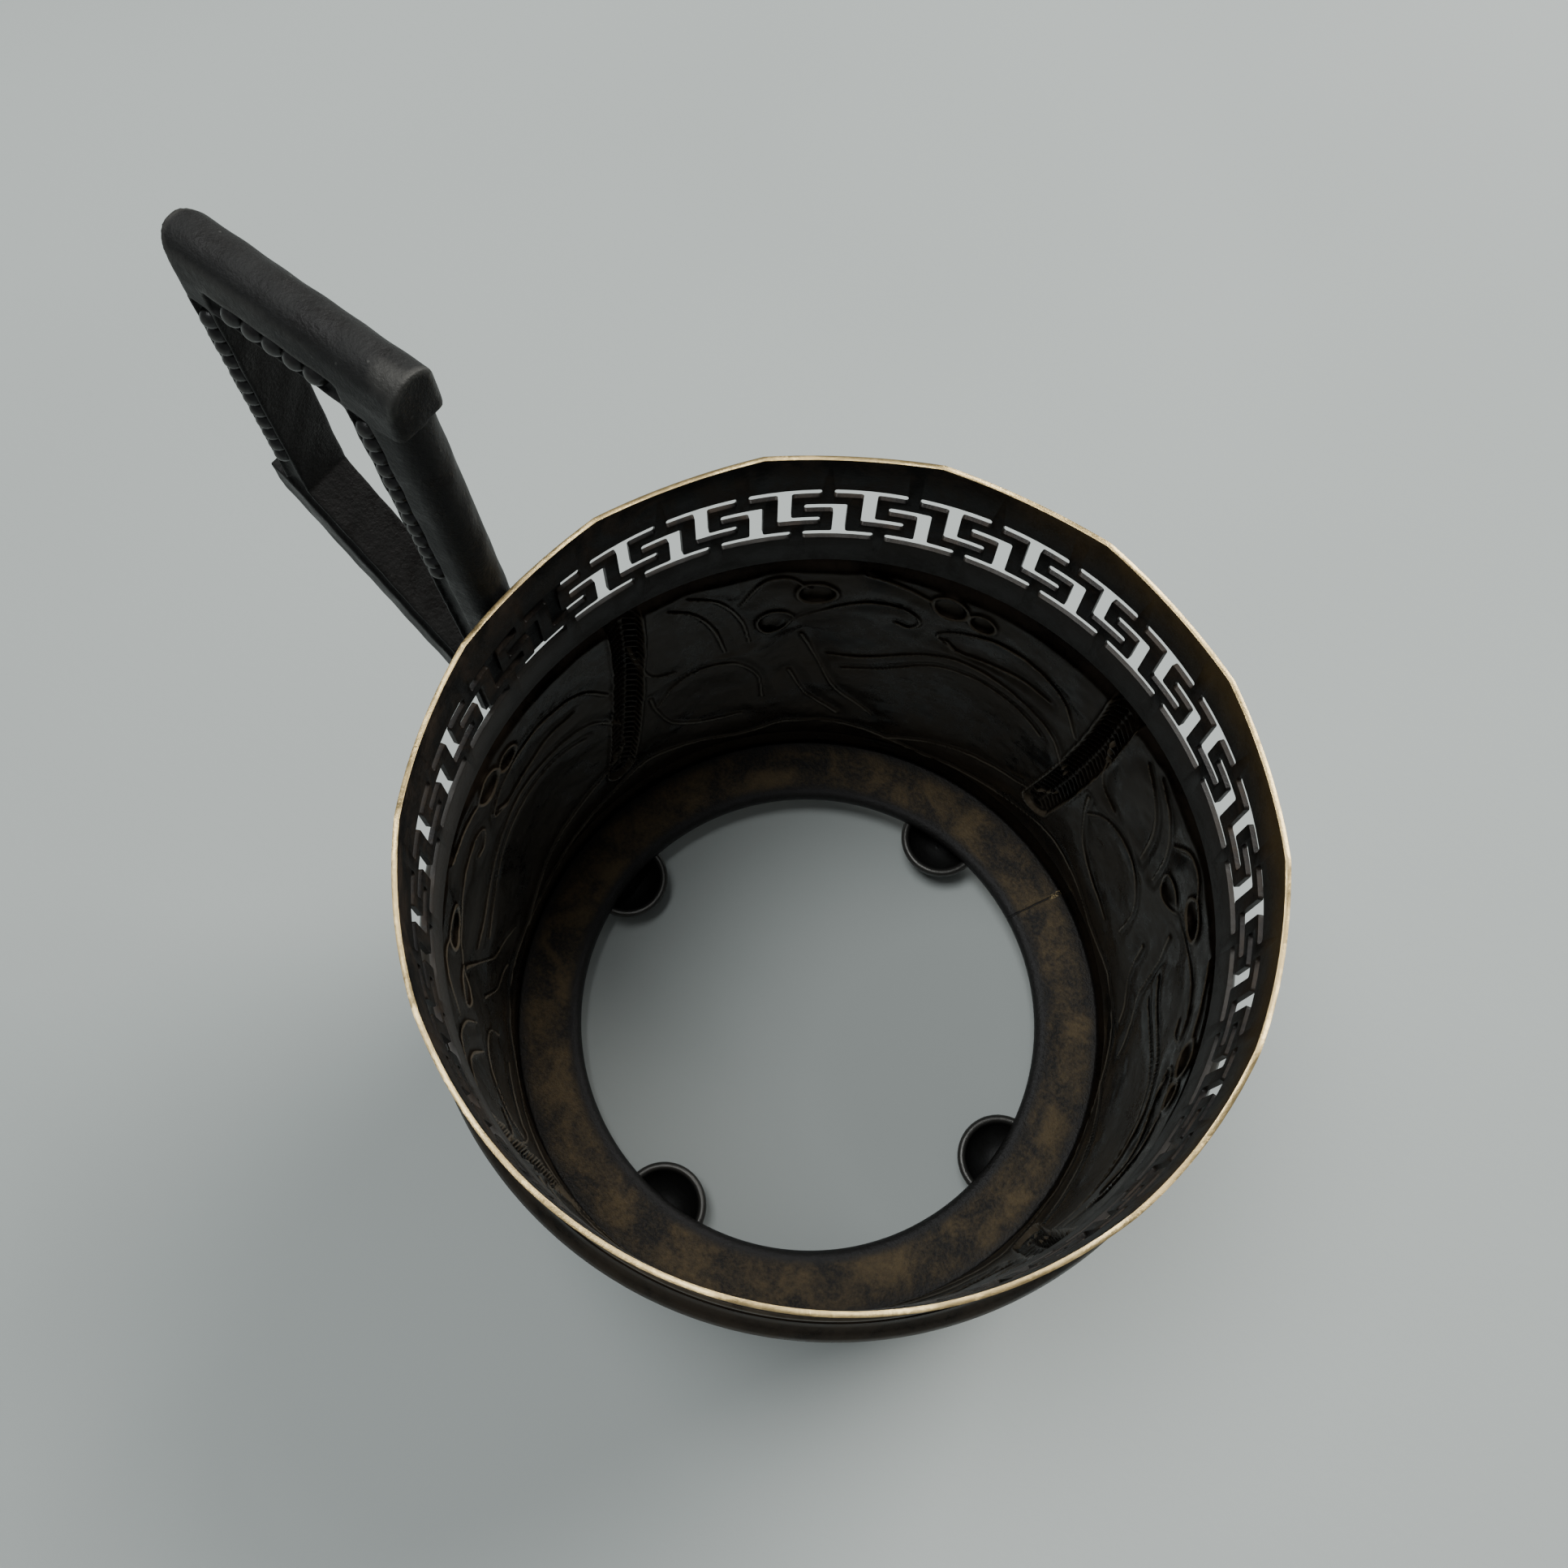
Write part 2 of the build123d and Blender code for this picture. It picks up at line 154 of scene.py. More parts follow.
# ---- mesh helpers ----
def mesh_from_arrays(name, points, quads):
    """Mesh object from arrays of points and four-cornered faces, shaded smooth."""
    mesh = bpy.data.meshes.new(name)
    mesh.vertices.add(len(points))
    mesh.vertices.foreach_set("co", np.asarray(points, np.float32).ravel())
    mesh.loops.add(quads.size)
    mesh.loops.foreach_set("vertex_index", np.asarray(quads, np.int32).ravel())
    mesh.polygons.add(len(quads))
    mesh.polygons.foreach_set("loop_start", np.arange(0, quads.size, 4, dtype=np.int32))
    mesh.update(calc_edges=True)
    mesh.shade_smooth()
    piece = bpy.data.objects.new(name, mesh)
    bpy.context.scene.collection.objects.link(piece)
    return piece


def ring_quads(rings, across):
    """Faces of a grid closed both ways: rings round the axis, across round the section."""
    ring = np.arange(rings)[:, None]
    step = np.arange(across)[None, :]
    next_ring = (ring + 1) % rings
    next_step = (step + 1) % across
    here, beyond = ring * across, next_ring * across
    corners = (here + step, here + next_step, beyond + next_step, beyond + step)
    return np.stack(np.broadcast_arrays(*corners), axis=-1).reshape(-1, 4)


def turned(name, outline, rings, centre=(0.0, 0.0)):
    """Ring or bowl from a closed outline of (radius, height) points turned about a vertical line."""
    outline = np.asarray(outline)
    turn = np.linspace(0.0, 2.0 * math.pi, rings, endpoint=False)[:, None]
    radius = outline[None, :, 0]
    x = centre[0] + radius * np.cos(turn)
    y = centre[1] + radius * np.sin(turn)
    z = np.broadcast_to(outline[None, :, 1], x.shape)
    return mesh_from_arrays(name, np.stack([x, y, z], axis=-1).reshape(-1, 3), ring_quads(rings, len(outline)))


def arc(centre, radius, start, end, steps):
    """Points of an arc in a section, angles in degrees."""
    angles = np.radians(np.linspace(start, end, steps))
    return [(centre[0] + radius * math.cos(a), centre[1] + radius * math.sin(a)) for a in angles]


def line(start, end, steps):
    """Points of a straight run, both ends left out."""
    shares = np.linspace(0.0, 1.0, steps + 2)[1:-1]
    return [(start[0] + (end[0] - start[0]) * s, start[1] + (end[1] - start[1]) * s) for s in shares]


def soft_noise(shape, cells, seed):
    """Smooth noise between -1 and 1 on a grid; the first direction closes on itself."""
    rng = np.random.RandomState(seed)
    knots = rng.uniform(-1.0, 1.0, (cells[0], cells[1] + 2))
    u = np.linspace(0.0, cells[0], shape[0], endpoint=False)
    v = np.linspace(0.0, cells[1], shape[1])
    low_u, low_v = np.floor(u).astype(int), np.minimum(np.floor(v).astype(int), cells[1])
    part_u, part_v = u - low_u, v - low_v
    part_u = (part_u**2 * (3 - 2 * part_u))[:, None]
    part_v = (part_v**2 * (3 - 2 * part_v))[None, :]
    high_u = (low_u + 1) % cells[0]
    low_u = low_u % cells[0]
    near = knots[np.ix_(low_u, low_v)] * (1 - part_v) + knots[np.ix_(low_u, low_v + 1)] * part_v
    far = knots[np.ix_(high_u, low_v)] * (1 - part_v) + knots[np.ix_(high_u, low_v + 1)] * part_v
    return near * (1 - part_u) + far * part_u


def smoothstep(value, low, high):
    """0 under low, 1 over high, smooth between."""
    share = np.clip((value - low) / (high - low), 0.0, 1.0)
    return share * share * (3 - 2 * share)


def number_layer(piece, name, values):
    """A number for each vertex, which a material reads by name."""
    layer = piece.data.attributes.new(name, "FLOAT", "POINT")
    layer.data.foreach_set("value", np.asarray(values, np.float32).ravel())


def settle(piece, slot, *nodes):
    """The piece rides on the body and stands for its CAD nodes, which it hides; its slot is not used."""
    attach(piece, "root")
    if nodes:
        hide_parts(*nodes)


def paint(piece, material):
    """One material on the whole piece."""
    piece.data.materials.clear()
    piece.data.materials.append(material)


# ---- shader helpers ----
def plug(tree, socket, value):
    """A value, or a socket to link from, into a socket."""
    if isinstance(value, bpy.types.NodeSocket):
        tree.links.new(value, socket)
    else:
        socket.default_value = value


def put(tree, kind, inputs=None, **settings):
    """A node with its settings and its inputs by name or number."""
    made = tree.nodes.new(kind)
    for name, value in settings.items():
        setattr(made, name, value)
    for name, value in (inputs or {}).items():
        plug(tree, made.inputs[name], value)
    return made


def reach(tree, value, low, high, to_low=0.0, to_high=1.0):
    """A value spread from one range to another and kept inside it."""
    inputs = {"Value": value, "From Min": low, "From Max": high, "To Min": to_low, "To Max": to_high}
    return put(tree, "ShaderNodeMapRange", inputs, interpolation_type="SMOOTHSTEP").outputs["Result"]


def maths(tree, operation, first, second=0.0):
    """A Math node's result."""
    return put(tree, "ShaderNodeMath", {0: first, 1: second}, operation=operation).outputs[0]


def blend(tree, share, first, second):
    """One colour over another by a share."""
    made = put(tree, "ShaderNodeMix", {"Factor": share}, data_type="RGBA")
    plug(tree, made.inputs[6], first)
    plug(tree, made.inputs[7], second)
    return made.outputs[2]


def shader_group(name, inputs, outputs):
    """An empty node group with named sockets, and its two end nodes."""
    tree = bpy.data.node_groups.new(name, "ShaderNodeTree")
    for label, kind, value in inputs:
        socket = tree.interface.new_socket(label, in_out="INPUT", socket_type=kind)
        socket.default_value = value
    for label, kind in outputs:
        tree.interface.new_socket(label, in_out="OUTPUT", socket_type=kind)
    return tree, tree.nodes.new("NodeGroupInput"), tree.nodes.new("NodeGroupOutput")


def patina_group():
    """Mottled patina: cloudy brown over black, with finer dry specks and a little thickness."""
    name = "Patina"
    if name in bpy.data.node_groups:
        return bpy.data.node_groups[name]
    tree, start, end = shader_group(
        name,
        [
            ("Dark", "NodeSocketColor", (0.005, 0.005, 0.004, 1)),
            ("Light", "NodeSocketColor", (0.02, 0.015, 0.01, 1)),
            ("Cloud scale", "NodeSocketFloat", 120.0),
            ("Bareness", "NodeSocketFloat", 0.5),
        ],
        [("Color", "NodeSocketColor"), ("Mask", "NodeSocketFloat"), ("Height", "NodeSocketFloat")],
    )
    place = put(tree, "ShaderNodeTexCoord").outputs["Object"]
    cloud = put(
        tree,
        "ShaderNodeTexNoise",
        {"Vector": place, "Scale": start.outputs["Cloud scale"], "Detail": 9.0, "Roughness": 0.62, "Distortion": 0.6},
    ).outputs["Fac"]
    fine_scale = maths(tree, "MULTIPLY", start.outputs["Cloud scale"], 9.0)
    fine = put(
        tree, "ShaderNodeTexNoise", {"Vector": place, "Scale": fine_scale, "Detail": 5.0, "Roughness": 0.7}
    ).outputs["Fac"]
    level = maths(tree, "SUBTRACT", 0.82, maths(tree, "MULTIPLY", start.outputs["Bareness"], 0.55))
    mixed = maths(tree, "ADD", maths(tree, "MULTIPLY", cloud, 0.72), maths(tree, "MULTIPLY", fine, 0.28))
    mask = reach(tree, mixed, maths(tree, "SUBTRACT", level, 0.14), maths(tree, "ADD", level, 0.14))
    tree.links.new(blend(tree, mask, start.outputs["Dark"], start.outputs["Light"]), end.inputs["Color"])
    tree.links.new(mask, end.inputs["Mask"])
    tree.links.new(mixed, end.inputs["Height"])
    return tree


def grain_group():
    """Cast grain: fine pits and a few bright specks."""
    name = "Cast grain"
    if name in bpy.data.node_groups:
        return bpy.data.node_groups[name]
    tree, start, end = shader_group(
        name,
        [("Scale", "NodeSocketFloat", 2500.0), ("Speck size", "NodeSocketFloat", 0.1)],
        [("Height", "NodeSocketFloat"), ("Specks", "NodeSocketFloat")],
    )
    place = put(tree, "ShaderNodeTexCoord").outputs["Object"]
    pits = put(
        tree,
        "ShaderNodeTexNoise",
        {"Vector": place, "Scale": start.outputs["Scale"], "Detail": 4.0, "Roughness": 0.65},
    ).outputs["Fac"]
    speck_scale = maths(tree, "MULTIPLY", start.outputs["Scale"], 0.42)
    cells = put(tree, "ShaderNodeTexVoronoi", {"Vector": place, "Scale": speck_scale, "Randomness": 1.0})
    dot = reach(tree, cells.outputs["Distance"], start.outputs["Speck size"], 0.0)
    choice = put(tree, "ShaderNodeSeparateColor", {"Color": cells.outputs["Color"]}).outputs["Red"]
    kept = maths(tree, "GREATER_THAN", choice, 0.72)
    tree.links.new(pits, end.inputs["Height"])
    tree.links.new(maths(tree, "MULTIPLY", dot, kept), end.inputs["Specks"])
    return tree


def wear_and_sheen_group():
    """Edge wear, and painted highlights where a shader asks for them: a level broken up by noise."""
    name = "Edge wear"
    if name in bpy.data.node_groups:
        return bpy.data.node_groups[name]
    tree, start, end = shader_group(
        name,
        [
            ("Level", "NodeSocketFloat", 0.0),
            ("Scale", "NodeSocketFloat", 700.0),
            ("Break up", "NodeSocketFloat", 0.5),
        ],
        [("Mask", "NodeSocketFloat")],
    )
    place = put(tree, "ShaderNodeTexCoord").outputs["Object"]
    noise = put(
        tree,
        "ShaderNodeTexNoise",
        {"Vector": place, "Scale": start.outputs["Scale"], "Detail": 6.0, "Roughness": 0.7},
    ).outputs["Fac"]
    shift = maths(tree, "MULTIPLY", maths(tree, "SUBTRACT", noise, 0.5), start.outputs["Break up"])
    worn = maths(tree, "ADD", start.outputs["Level"], shift)
    tree.links.new(reach(tree, worn, 0.25, 0.75), end.inputs["Mask"])
    return tree


def new_metal(name):
    """A material with its Principled shader, ready to be fed."""
    material = bpy.data.materials.new(name)
    material.use_nodes = True
    tree = material.node_tree
    return material, tree, tree.nodes["Principled BSDF"]


def use_group(tree, group, **inputs):
    """A placed node group with its own values, named with underscores for spaces."""
    made = put(tree, "ShaderNodeGroup", node_tree=group)
    for name, value in inputs.items():
        plug(tree, made.inputs[name.replace("_", " ").capitalize()], value)
    return made


def feed(tree, shader, color, roughness, metallic, height, distance, strength=1.0):
    """Colour, roughness, metalness and bump into the shader."""
    bump = put(tree, "ShaderNodeBump", {"Height": height, "Distance": distance, "Strength": strength})
    for name, value in (("Base Color", color), ("Roughness", roughness), ("Metallic", metallic)):
        plug(tree, shader.inputs[name], value)
    tree.links.new(bump.outputs["Normal"], shader.inputs["Normal"])


def wall_metal(finish):
    """Glossy black patina with rubbed olive lines and brown clouds."""
    material, tree, shader = new_metal("Embossed black patina")
    patina = use_group(
        tree, patina_group(), dark=tuple(finish.black), light=tuple(finish.brown), cloud_scale=115.0, bareness=0.66
    )
    rubbed = put(tree, "ShaderNodeAttribute", attribute_name="rubbed").outputs["Fac"]
    line = reach(tree, rubbed, 0.22, 0.56)
    wear = use_group(tree, wear_and_sheen_group(), level=line, scale=420.0, break_up=0.9).outputs["Mask"]
    share = maths(tree, "MULTIPLY", wear, 0.42)
    color = blend(tree, share, patina.outputs["Color"], tuple(finish.olive))
    rough = reach(tree, patina.outputs["Mask"], 0.0, 1.0, 0.17, 0.40)
    metallic = maths(tree, "SUBTRACT", 0.85, maths(tree, "MULTIPLY", wear, 0.7))
    feed(tree, shader, color, rough, metallic, patina.outputs["Height"], 0.00005)
    shader.inputs["Specular IOR Level"].default_value = 0.35
    return material


def gallery_metal(finish):
    """Brown-black patina, rubbed bronze towards the rim laid on one side only as painted light, grey below, bare brass
    along its top edge.
    """
    material, tree, shader = new_metal("Gallery brown patina")
    patina = use_group(
        tree, patina_group(), dark=tuple(finish.black), light=tuple(finish.brown), cloud_scale=240.0, bareness=0.5
    )
    place = put(tree, "ShaderNodeTexCoord").outputs["Object"]
    height = put(tree, "ShaderNodeSeparateXYZ", {"Vector": place}).outputs["Z"]
    cloud = put(tree, "ShaderNodeTexNoise", {"Vector": place, "Scale": 170.0, "Detail": 8.0, "Roughness": 0.62})
    low = maths(tree, "MULTIPLY", reach(tree, height, LEDGE_Z + 4.6 * MM, LEDGE_Z + 3.4 * MM), 0.85)
    band_color = blend(tree, low, patina.outputs["Color"], tuple(finish.band_grey))
    # the lip's bronze is painted light: it is laid on one side of the holder only, over the rubbed lip
    lit_side = math.radians(LIP_LIGHT_SIDE)
    toward = (math.cos(lit_side), math.sin(lit_side), 0)
    ahead = put(tree, "ShaderNodeVectorMath", {0: place, 1: toward}, operation="DOT_PRODUCT").outputs["Value"]
    # painted light: this share makes the lip lighter towards one side only
    rubbed = reach(tree, ahead, 0.35 * GALLERY_R, 0.98 * GALLERY_R, 0.0, 1.0)
    lip = maths(tree, "MULTIPLY", reach(tree, height, RIM_Z - 5.6 * MM, RIM_Z - 0.3 * MM), rubbed)
    bronze_and_light_share = maths(tree, "MULTIPLY", lip, reach(tree, cloud.outputs["Fac"], 0.34, 0.68, 0.35, 1.0))
    bronze_and_light_colour = blend(tree, bronze_and_light_share, band_color, tuple(finish.bronze))
    normal = put(tree, "ShaderNodeNewGeometry").outputs["Normal"]
    upward = put(tree, "ShaderNodeSeparateXYZ", {"Vector": normal}).outputs["Z"]
    near_rim = reach(tree, height, RIM_Z - 1.4 * MM, RIM_Z - 1.0 * MM)
    top = maths(tree, "MULTIPLY", reach(tree, upward, 0.55, 0.9), near_rim)
    rim = use_group(tree, wear_and_sheen_group(), level=maths(tree, "MULTIPLY", top, 0.85), scale=800.0, break_up=0.8)
    color = blend(tree, rim.outputs["Mask"], bronze_and_light_colour, tuple(finish.brass))
    rough = reach(tree, patina.outputs["Mask"], 0.0, 1.0, 0.42, 0.6)
    rough = maths(tree, "SUBTRACT", rough, maths(tree, "MULTIPLY", rim.outputs["Mask"], 0.12))
    metallic = maths(tree, "MAXIMUM", maths(tree, "MULTIPLY", bronze_and_light_share, 0.55), rim.outputs["Mask"])
    feed(tree, shader, color, rough, metallic, patina.outputs["Height"], 0.00012)
    shader.inputs["Specular IOR Level"].default_value = 0.22
    return material


def ring_metal(finish):
    """Mottled dull brown and gold, darker at the edges, with a soldered seam across: a dark crack with a painted brass
    highlight along it near the wall.
    """
    material, tree, shader = new_metal("Base mottled brown")
    black, gold = tuple(finish.black), tuple(finish.base_brown)
    patina = use_group(tree, patina_group(), dark=black, light=gold, cloud_scale=200.0, bareness=0.52)
    place = put(tree, "ShaderNodeTexCoord").outputs["Object"]
    parts = put(tree, "ShaderNodeSeparateXYZ", {"Vector": place})
    flat = put(tree, "ShaderNodeCombineXYZ", {"X": parts.outputs["X"], "Y": parts.outputs["Y"]}).outputs["Vector"]
    radius = put(tree, "ShaderNodeVectorMath", {0: flat}, operation="LENGTH").outputs["Value"]
    grit = put(tree, "ShaderNodeTexNoise", {"Vector": place, "Scale": 2600.0, "Detail": 4.0, "Roughness": 0.7})
    speckle = reach(tree, grit.outputs["Fac"], 0.42, 0.66)
    color = blend(tree, maths(tree, "MULTIPLY", speckle, 0.22), patina.outputs["Color"], gold)
    inner = reach(tree, radius, RING_R - 6.1 * MM, RING_R - 4.9 * MM)
    outer = reach(tree, radius, RING_R + 0.1 * MM, RING_R - 1.7 * MM)
    # the seam runs out along one radius
    seam = math.radians(SOLDER_SEAM)
    sideways, outwards = (math.sin(seam), -math.cos(seam), 0), (math.cos(seam), math.sin(seam), 0)
    beside = put(tree, "ShaderNodeVectorMath", {0: flat, 1: sideways}, operation="DOT_PRODUCT").outputs["Value"]
    ahead = put(tree, "ShaderNodeVectorMath", {0: flat, 1: outwards}, operation="DOT_PRODUCT").outputs["Value"]
    wander = maths(tree, "MULTIPLY", maths(tree, "SUBTRACT", grit.outputs["Fac"], 0.5), 0.3 * MM)
    gap = maths(tree, "ABSOLUTE", maths(tree, "ADD", beside, wander))
    crack = maths(tree, "MULTIPLY", reach(tree, gap, 0.14 * MM, 0.04 * MM), reach(tree, ahead, 0.0, 1 * MM))
    kept = maths(tree, "MULTIPLY", maths(tree, "MULTIPLY", inner, outer), maths(tree, "SUBTRACT", 1.0, crack))
    color = blend(tree, kept, black, color)
    # painted highlight: a bright brass dash along the seam near the wall
    near_wall = reach(tree, radius, RING_R - 1.6 * MM, RING_R - 1.2 * MM)
    seam_highlight = maths(tree, "MULTIPLY", reach(tree, gap, 0.32 * MM, 0.2 * MM), near_wall)
    seam_highlight = maths(tree, "MULTIPLY", seam_highlight, reach(tree, ahead, 0.0, 1 * MM))
    color = blend(tree, maths(tree, "MULTIPLY", seam_highlight, speckle), color, tuple(finish.brass))
    rough = reach(tree, kept, 0.0, 1.0, 0.56, 0.66)
    metallic = maths(tree, "MULTIPLY", maths(tree, "MULTIPLY", kept, patina.outputs["Mask"]), 0.45)
    height = maths(tree, "SUBTRACT", maths(tree, "ADD", patina.outputs["Height"], grit.outputs["Fac"]), crack)
    feed(tree, shader, color, rough, metallic, height, 0.00012)
    return material


def foot_metal(finish):
    """Dark grey shell with a painted highlight on its rim."""
    material, tree, shader = new_metal("Foot dark grey")
    patina = use_group(
        tree, patina_group(), dark=tuple(finish.black), light=tuple(finish.cast_grey), cloud_scale=300.0, bareness=0.7
    )
    place = put(tree, "ShaderNodeTexCoord").outputs["Object"]
    height = put(tree, "ShaderNodeSeparateXYZ", {"Vector": place}).outputs["Z"]
    # painted highlight: the foot's rim under the base ring is made lighter grey and more metallic
    rim = maths(tree, "MULTIPLY", reach(tree, height, RING_LOW.z - 0.7 * MM, RING_LOW.z - 0.15 * MM), 0.85)
    wear = use_group(tree, wear_and_sheen_group(), level=rim, scale=800.0, break_up=0.5).outputs["Mask"]
    color = blend(tree, wear, patina.outputs["Color"], tuple(finish.wear_and_sheen_grey))
    metallic = maths(tree, "MULTIPLY", wear, 0.7)
    feed(tree, shader, color, reach(tree, wear, 0.0, 1.0, 0.5, 0.38), metallic, patina.outputs["Height"], 0.0001)
    return material


def handle_metal(finish):
    """Matt grey-black casting with rubbed edges, a painted highlight along the near bevel, pits and pale specks."""
    material, tree, shader = new_metal("Handle cast grey")
    patina = use_group(
        tree, patina_group(), dark=tuple(finish.black), light=tuple(finish.cast_grey), cloud_scale=330.0, bareness=0.66
    )
    grain = use_group(tree, grain_group(), scale=2600.0, speck_size=0.16)
    rubbed = put(tree, "ShaderNodeAttribute", attribute_name="rubbed").outputs["Fac"]
    wear = use_group(tree, wear_and_sheen_group(), level=rubbed, scale=430.0, break_up=0.75).outputs["Mask"]
    color = blend(tree, maths(tree, "MULTIPLY", wear, 0.85), patina.outputs["Color"], tuple(finish.wear_and_sheen_grey))
    specks = maths(tree, "MULTIPLY", grain.outputs["Specks"], 0.85)
    color = blend(tree, specks, color, tuple(finish.wear_and_sheen_grey))
    # darker on the faces towards the window
    window_facing = put(tree, "ShaderNodeAttribute", attribute_name="window_facing").outputs["Fac"]
    color = blend(tree, maths(tree, "MULTIPLY", window_facing, 0.8), color, tuple(finish.black))
    rough = reach(tree, patina.outputs["Mask"], 0.0, 1.0, 0.46, 0.62)
    metallic = maths(tree, "MULTIPLY", wear, 0.6)
    height = maths(tree, "ADD", maths(tree, "MULTIPLY", patina.outputs["Height"], 0.8), grain.outputs["Height"])
    feed(tree, shader, color, rough, metallic, height, 0.00009)
    shader.inputs["Specular IOR Level"].default_value = 0.32
    return material


def bead_metal(finish):
    """Black in the gaps, rubbed grey on the crests."""
    material, tree, shader = new_metal("Bead dark grey")
    patina = use_group(
        tree, patina_group(), dark=tuple(finish.black), light=tuple(finish.cast_grey), cloud_scale=500.0, bareness=0.6
    )
    rubbed = put(tree, "ShaderNodeAttribute", attribute_name="rubbed").outputs["Fac"]
    wear = use_group(tree, wear_and_sheen_group(), level=rubbed, scale=1200.0, break_up=0.6).outputs["Mask"]
    color = blend(tree, maths(tree, "MULTIPLY", wear, 0.7), patina.outputs["Color"], tuple(finish.wear_and_sheen_grey))
    metallic = maths(tree, "MULTIPLY", wear, 0.6)
    feed(tree, shader, color, reach(tree, wear, 0.0, 1.0, 0.30, 0.42), metallic, patina.outputs["Height"], 0.00005)
    return material


def floor_paper(finish):
    """Plain pale matt floor."""
    material, tree, shader = new_metal("Floor paper")
    place = put(tree, "ShaderNodeTexCoord").outputs["Object"]
    tooth = put(tree, "ShaderNodeTexNoise", {"Vector": place, "Scale": 900.0, "Detail": 4.0}).outputs["Fac"]
    tone = put(tree, "ShaderNodeTexNoise", {"Vector": place, "Scale": 9.0, "Detail": 2.0}).outputs["Fac"]
    base = tuple(finish.floor)
    darker = tuple(c * 0.93 for c in base[:3]) + (1.0,)
    feed(tree, shader, blend(tree, reach(tree, tone, 0.3, 0.7), darker, base), 0.75, 0.0, tooth, 0.00002)
    return material


# ---- the wall's scrolls: (degrees along one motif, millimetres above the glass seat) ----
SCROLLS = {
    "upper contour of the great leaf": [(83, 24), (74, 25.5), (64, 29), (56, 30), (46, 29), (39, 27), (33.5, 22)],
    "lower contour of the great leaf": [(70, 5), (58, 9), (47, 11), (38, 13), (33, 17)],
    "second contour of the great leaf": [(80, 21.5), (72, 23), (63, 26.2), (55, 27.2), (47, 26.4), (41, 24.6)],
    "side leaf, outside": [(61, 31.5), (64.5, 33.5), (62, 35.3), (55, 37.2), (47, 37.2), (40, 35.4), (35, 31)],
    "side leaf, inside": [(63, 33), (60, 31.6), (54, 32), (47, 33), (42, 33)],
    "top scroll": [(90, 32), (85, 34.5), (78, 37), (71, 37.2), (68, 35.4), (69.5, 33.6), (72, 34)],
    "stem to the small leaf": [(78, 42.3), (72, 41.4), (66.5, 40)],
    "fold at the rope": [(29, 36), (27.5, 31), (25.5, 28.5), (21.5, 27.5)],
    "long fold": [(27, 24), (26, 20), (23, 15), (17, 12), (9, 11.5)],
    "hooked fold": [(25.5, 21), (22, 24.5), (16, 25.8), (10, 24.6), (6, 20.5), (5, 15)],
    "upright fold": [(21.5, 40.5), (17.5, 38.2), (14, 33.5), (12, 28)],
    "second upright fold": [(18, 41.5), (13, 39), (9, 34), (7.5, 29)],
    "corner fold": [(9, 37), (5.5, 41), (1, 41.5), (-3, 39)],
    "low wave": [(0, 7.5), (10, 5.6), (20, 7.6), (30, 8.4), (40, 6.6), (52, 5.0), (64, 4.6), (78, 7), (90, 7.5)],
    "left fold": [(88, 28), (84, 21), (80, 15), (73, 10.5)],
    "left fold, inner": [(90, 20), (86, 14), (80, 9.5)],
}
SMALL_LEAVES = [(63.5, 40.2, 3.1, 1.9), (57.6, 39.6, 2.4, 1.5), (3.0, 33.0, 3.2, 2.4), (86.0, 38.6, 3.4, 1.8)]
BULGES = [
    (55, 20, 19, 7.6, 0.75),
    (55, 33.6, 10, 2.6, 0.4),
    (80, 30, 9, 4.0, 0.5),
    (15, 18, 8, 5.5, 0.55),
    (13, 34, 7, 5.0, 0.35),
    (80, 13, 7, 4.5, 0.45),
    (30, 11, 9, 3.0, 0.3),
    (-2, 25, 7, 8.0, 0.35),
    (88, 25, 7, 8.0, 0.35),
]
ROPE = [(35.5, 11.5), (33, 20), (31.2, 28), (30, 35), (29.5, 43.2)]
ROPE_HALF_WIDTH = 1.9 * MM


def flowing(points, steps=14):
    """Smooth curve through the points of a scroll."""
    points = np.asarray(points, float)
    padded = np.vstack([2 * points[0] - points[1], points, 2 * points[-1] - points[-2]])
    shares = np.linspace(0.0, 1.0, steps, endpoint=False)[:, None]
    runs = []
    for a, b, c, d in zip(padded[:-3], padded[1:-2], padded[2:-1], padded[3:]):
        runs.append(
            0.5
            * (
                2 * b
                + (c - a) * shares
                + (2 * a - 5 * b + 4 * c - d) * shares**2
                + (3 * b - a - 3 * c + d) * shares**3
            )
        )
    return np.vstack(runs + [points[-1:]])


def nearest(points, curve):
    """Distance of each point from a curve, and how far along the curve that is, with its side."""
    best = np.full(len(points), 1e9)
    along = np.zeros(len(points))
    side = np.zeros(len(points))
    run = 0.0
    for start, end in zip(curve[:-1], curve[1:]):
        step = end - start
        size = math.hypot(*step)
        if size == 0.0:
            continue
        away = points - start
        share = np.clip((away @ step) / size**2, 0.0, 1.0)
        gap = away - share[:, None] * step
        distance = np.hypot(gap[:, 0], gap[:, 1])
        closer = distance < best
        best = np.where(closer, distance, best)
        along = np.where(closer, run + share * size, along)
        side = np.where(closer, np.sign(step[0] * away[:, 1] - step[1] * away[:, 0]) * distance, side)
        run += size
    return best, along, side


